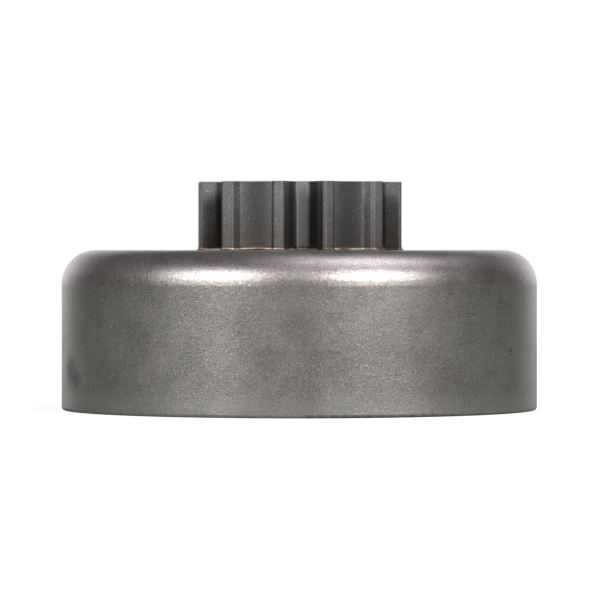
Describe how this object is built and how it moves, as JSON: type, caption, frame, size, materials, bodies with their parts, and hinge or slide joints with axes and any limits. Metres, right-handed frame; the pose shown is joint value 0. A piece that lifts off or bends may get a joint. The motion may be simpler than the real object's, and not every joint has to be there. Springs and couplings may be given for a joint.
{
  "type": "clutch drum",
  "caption": "Drawn steel clutch drum, open side down, with a spur sprocket brazed on its closed face and a needle bearing bore right through the hub.",
  "frame": {"origin": "on the drum's axis, in the plane of the open rim", "axes": "+Z along the axis, from the open rim to the sprocket; +Y away from a viewer who faces the drum as pictured"},
  "size_m": [0.07, 0.07, 0.0335],
  "materials": {
    "drum_steel": "dull grey drawn steel, case hardened, with a fine speckle and a faint violet tint on the shoulder",
    "sintered_steel": "dark grey sintered steel with a bright grain",
    "copper_braze": "dull copper braze, part bright and part oxidised brown"
  },
  "bodies": {
    "root": {"drum_cup": "drum_steel", "drive_sprocket": "sintered_steel", "braze_fillet": "copper_braze"}
  },
  "joints": []
}
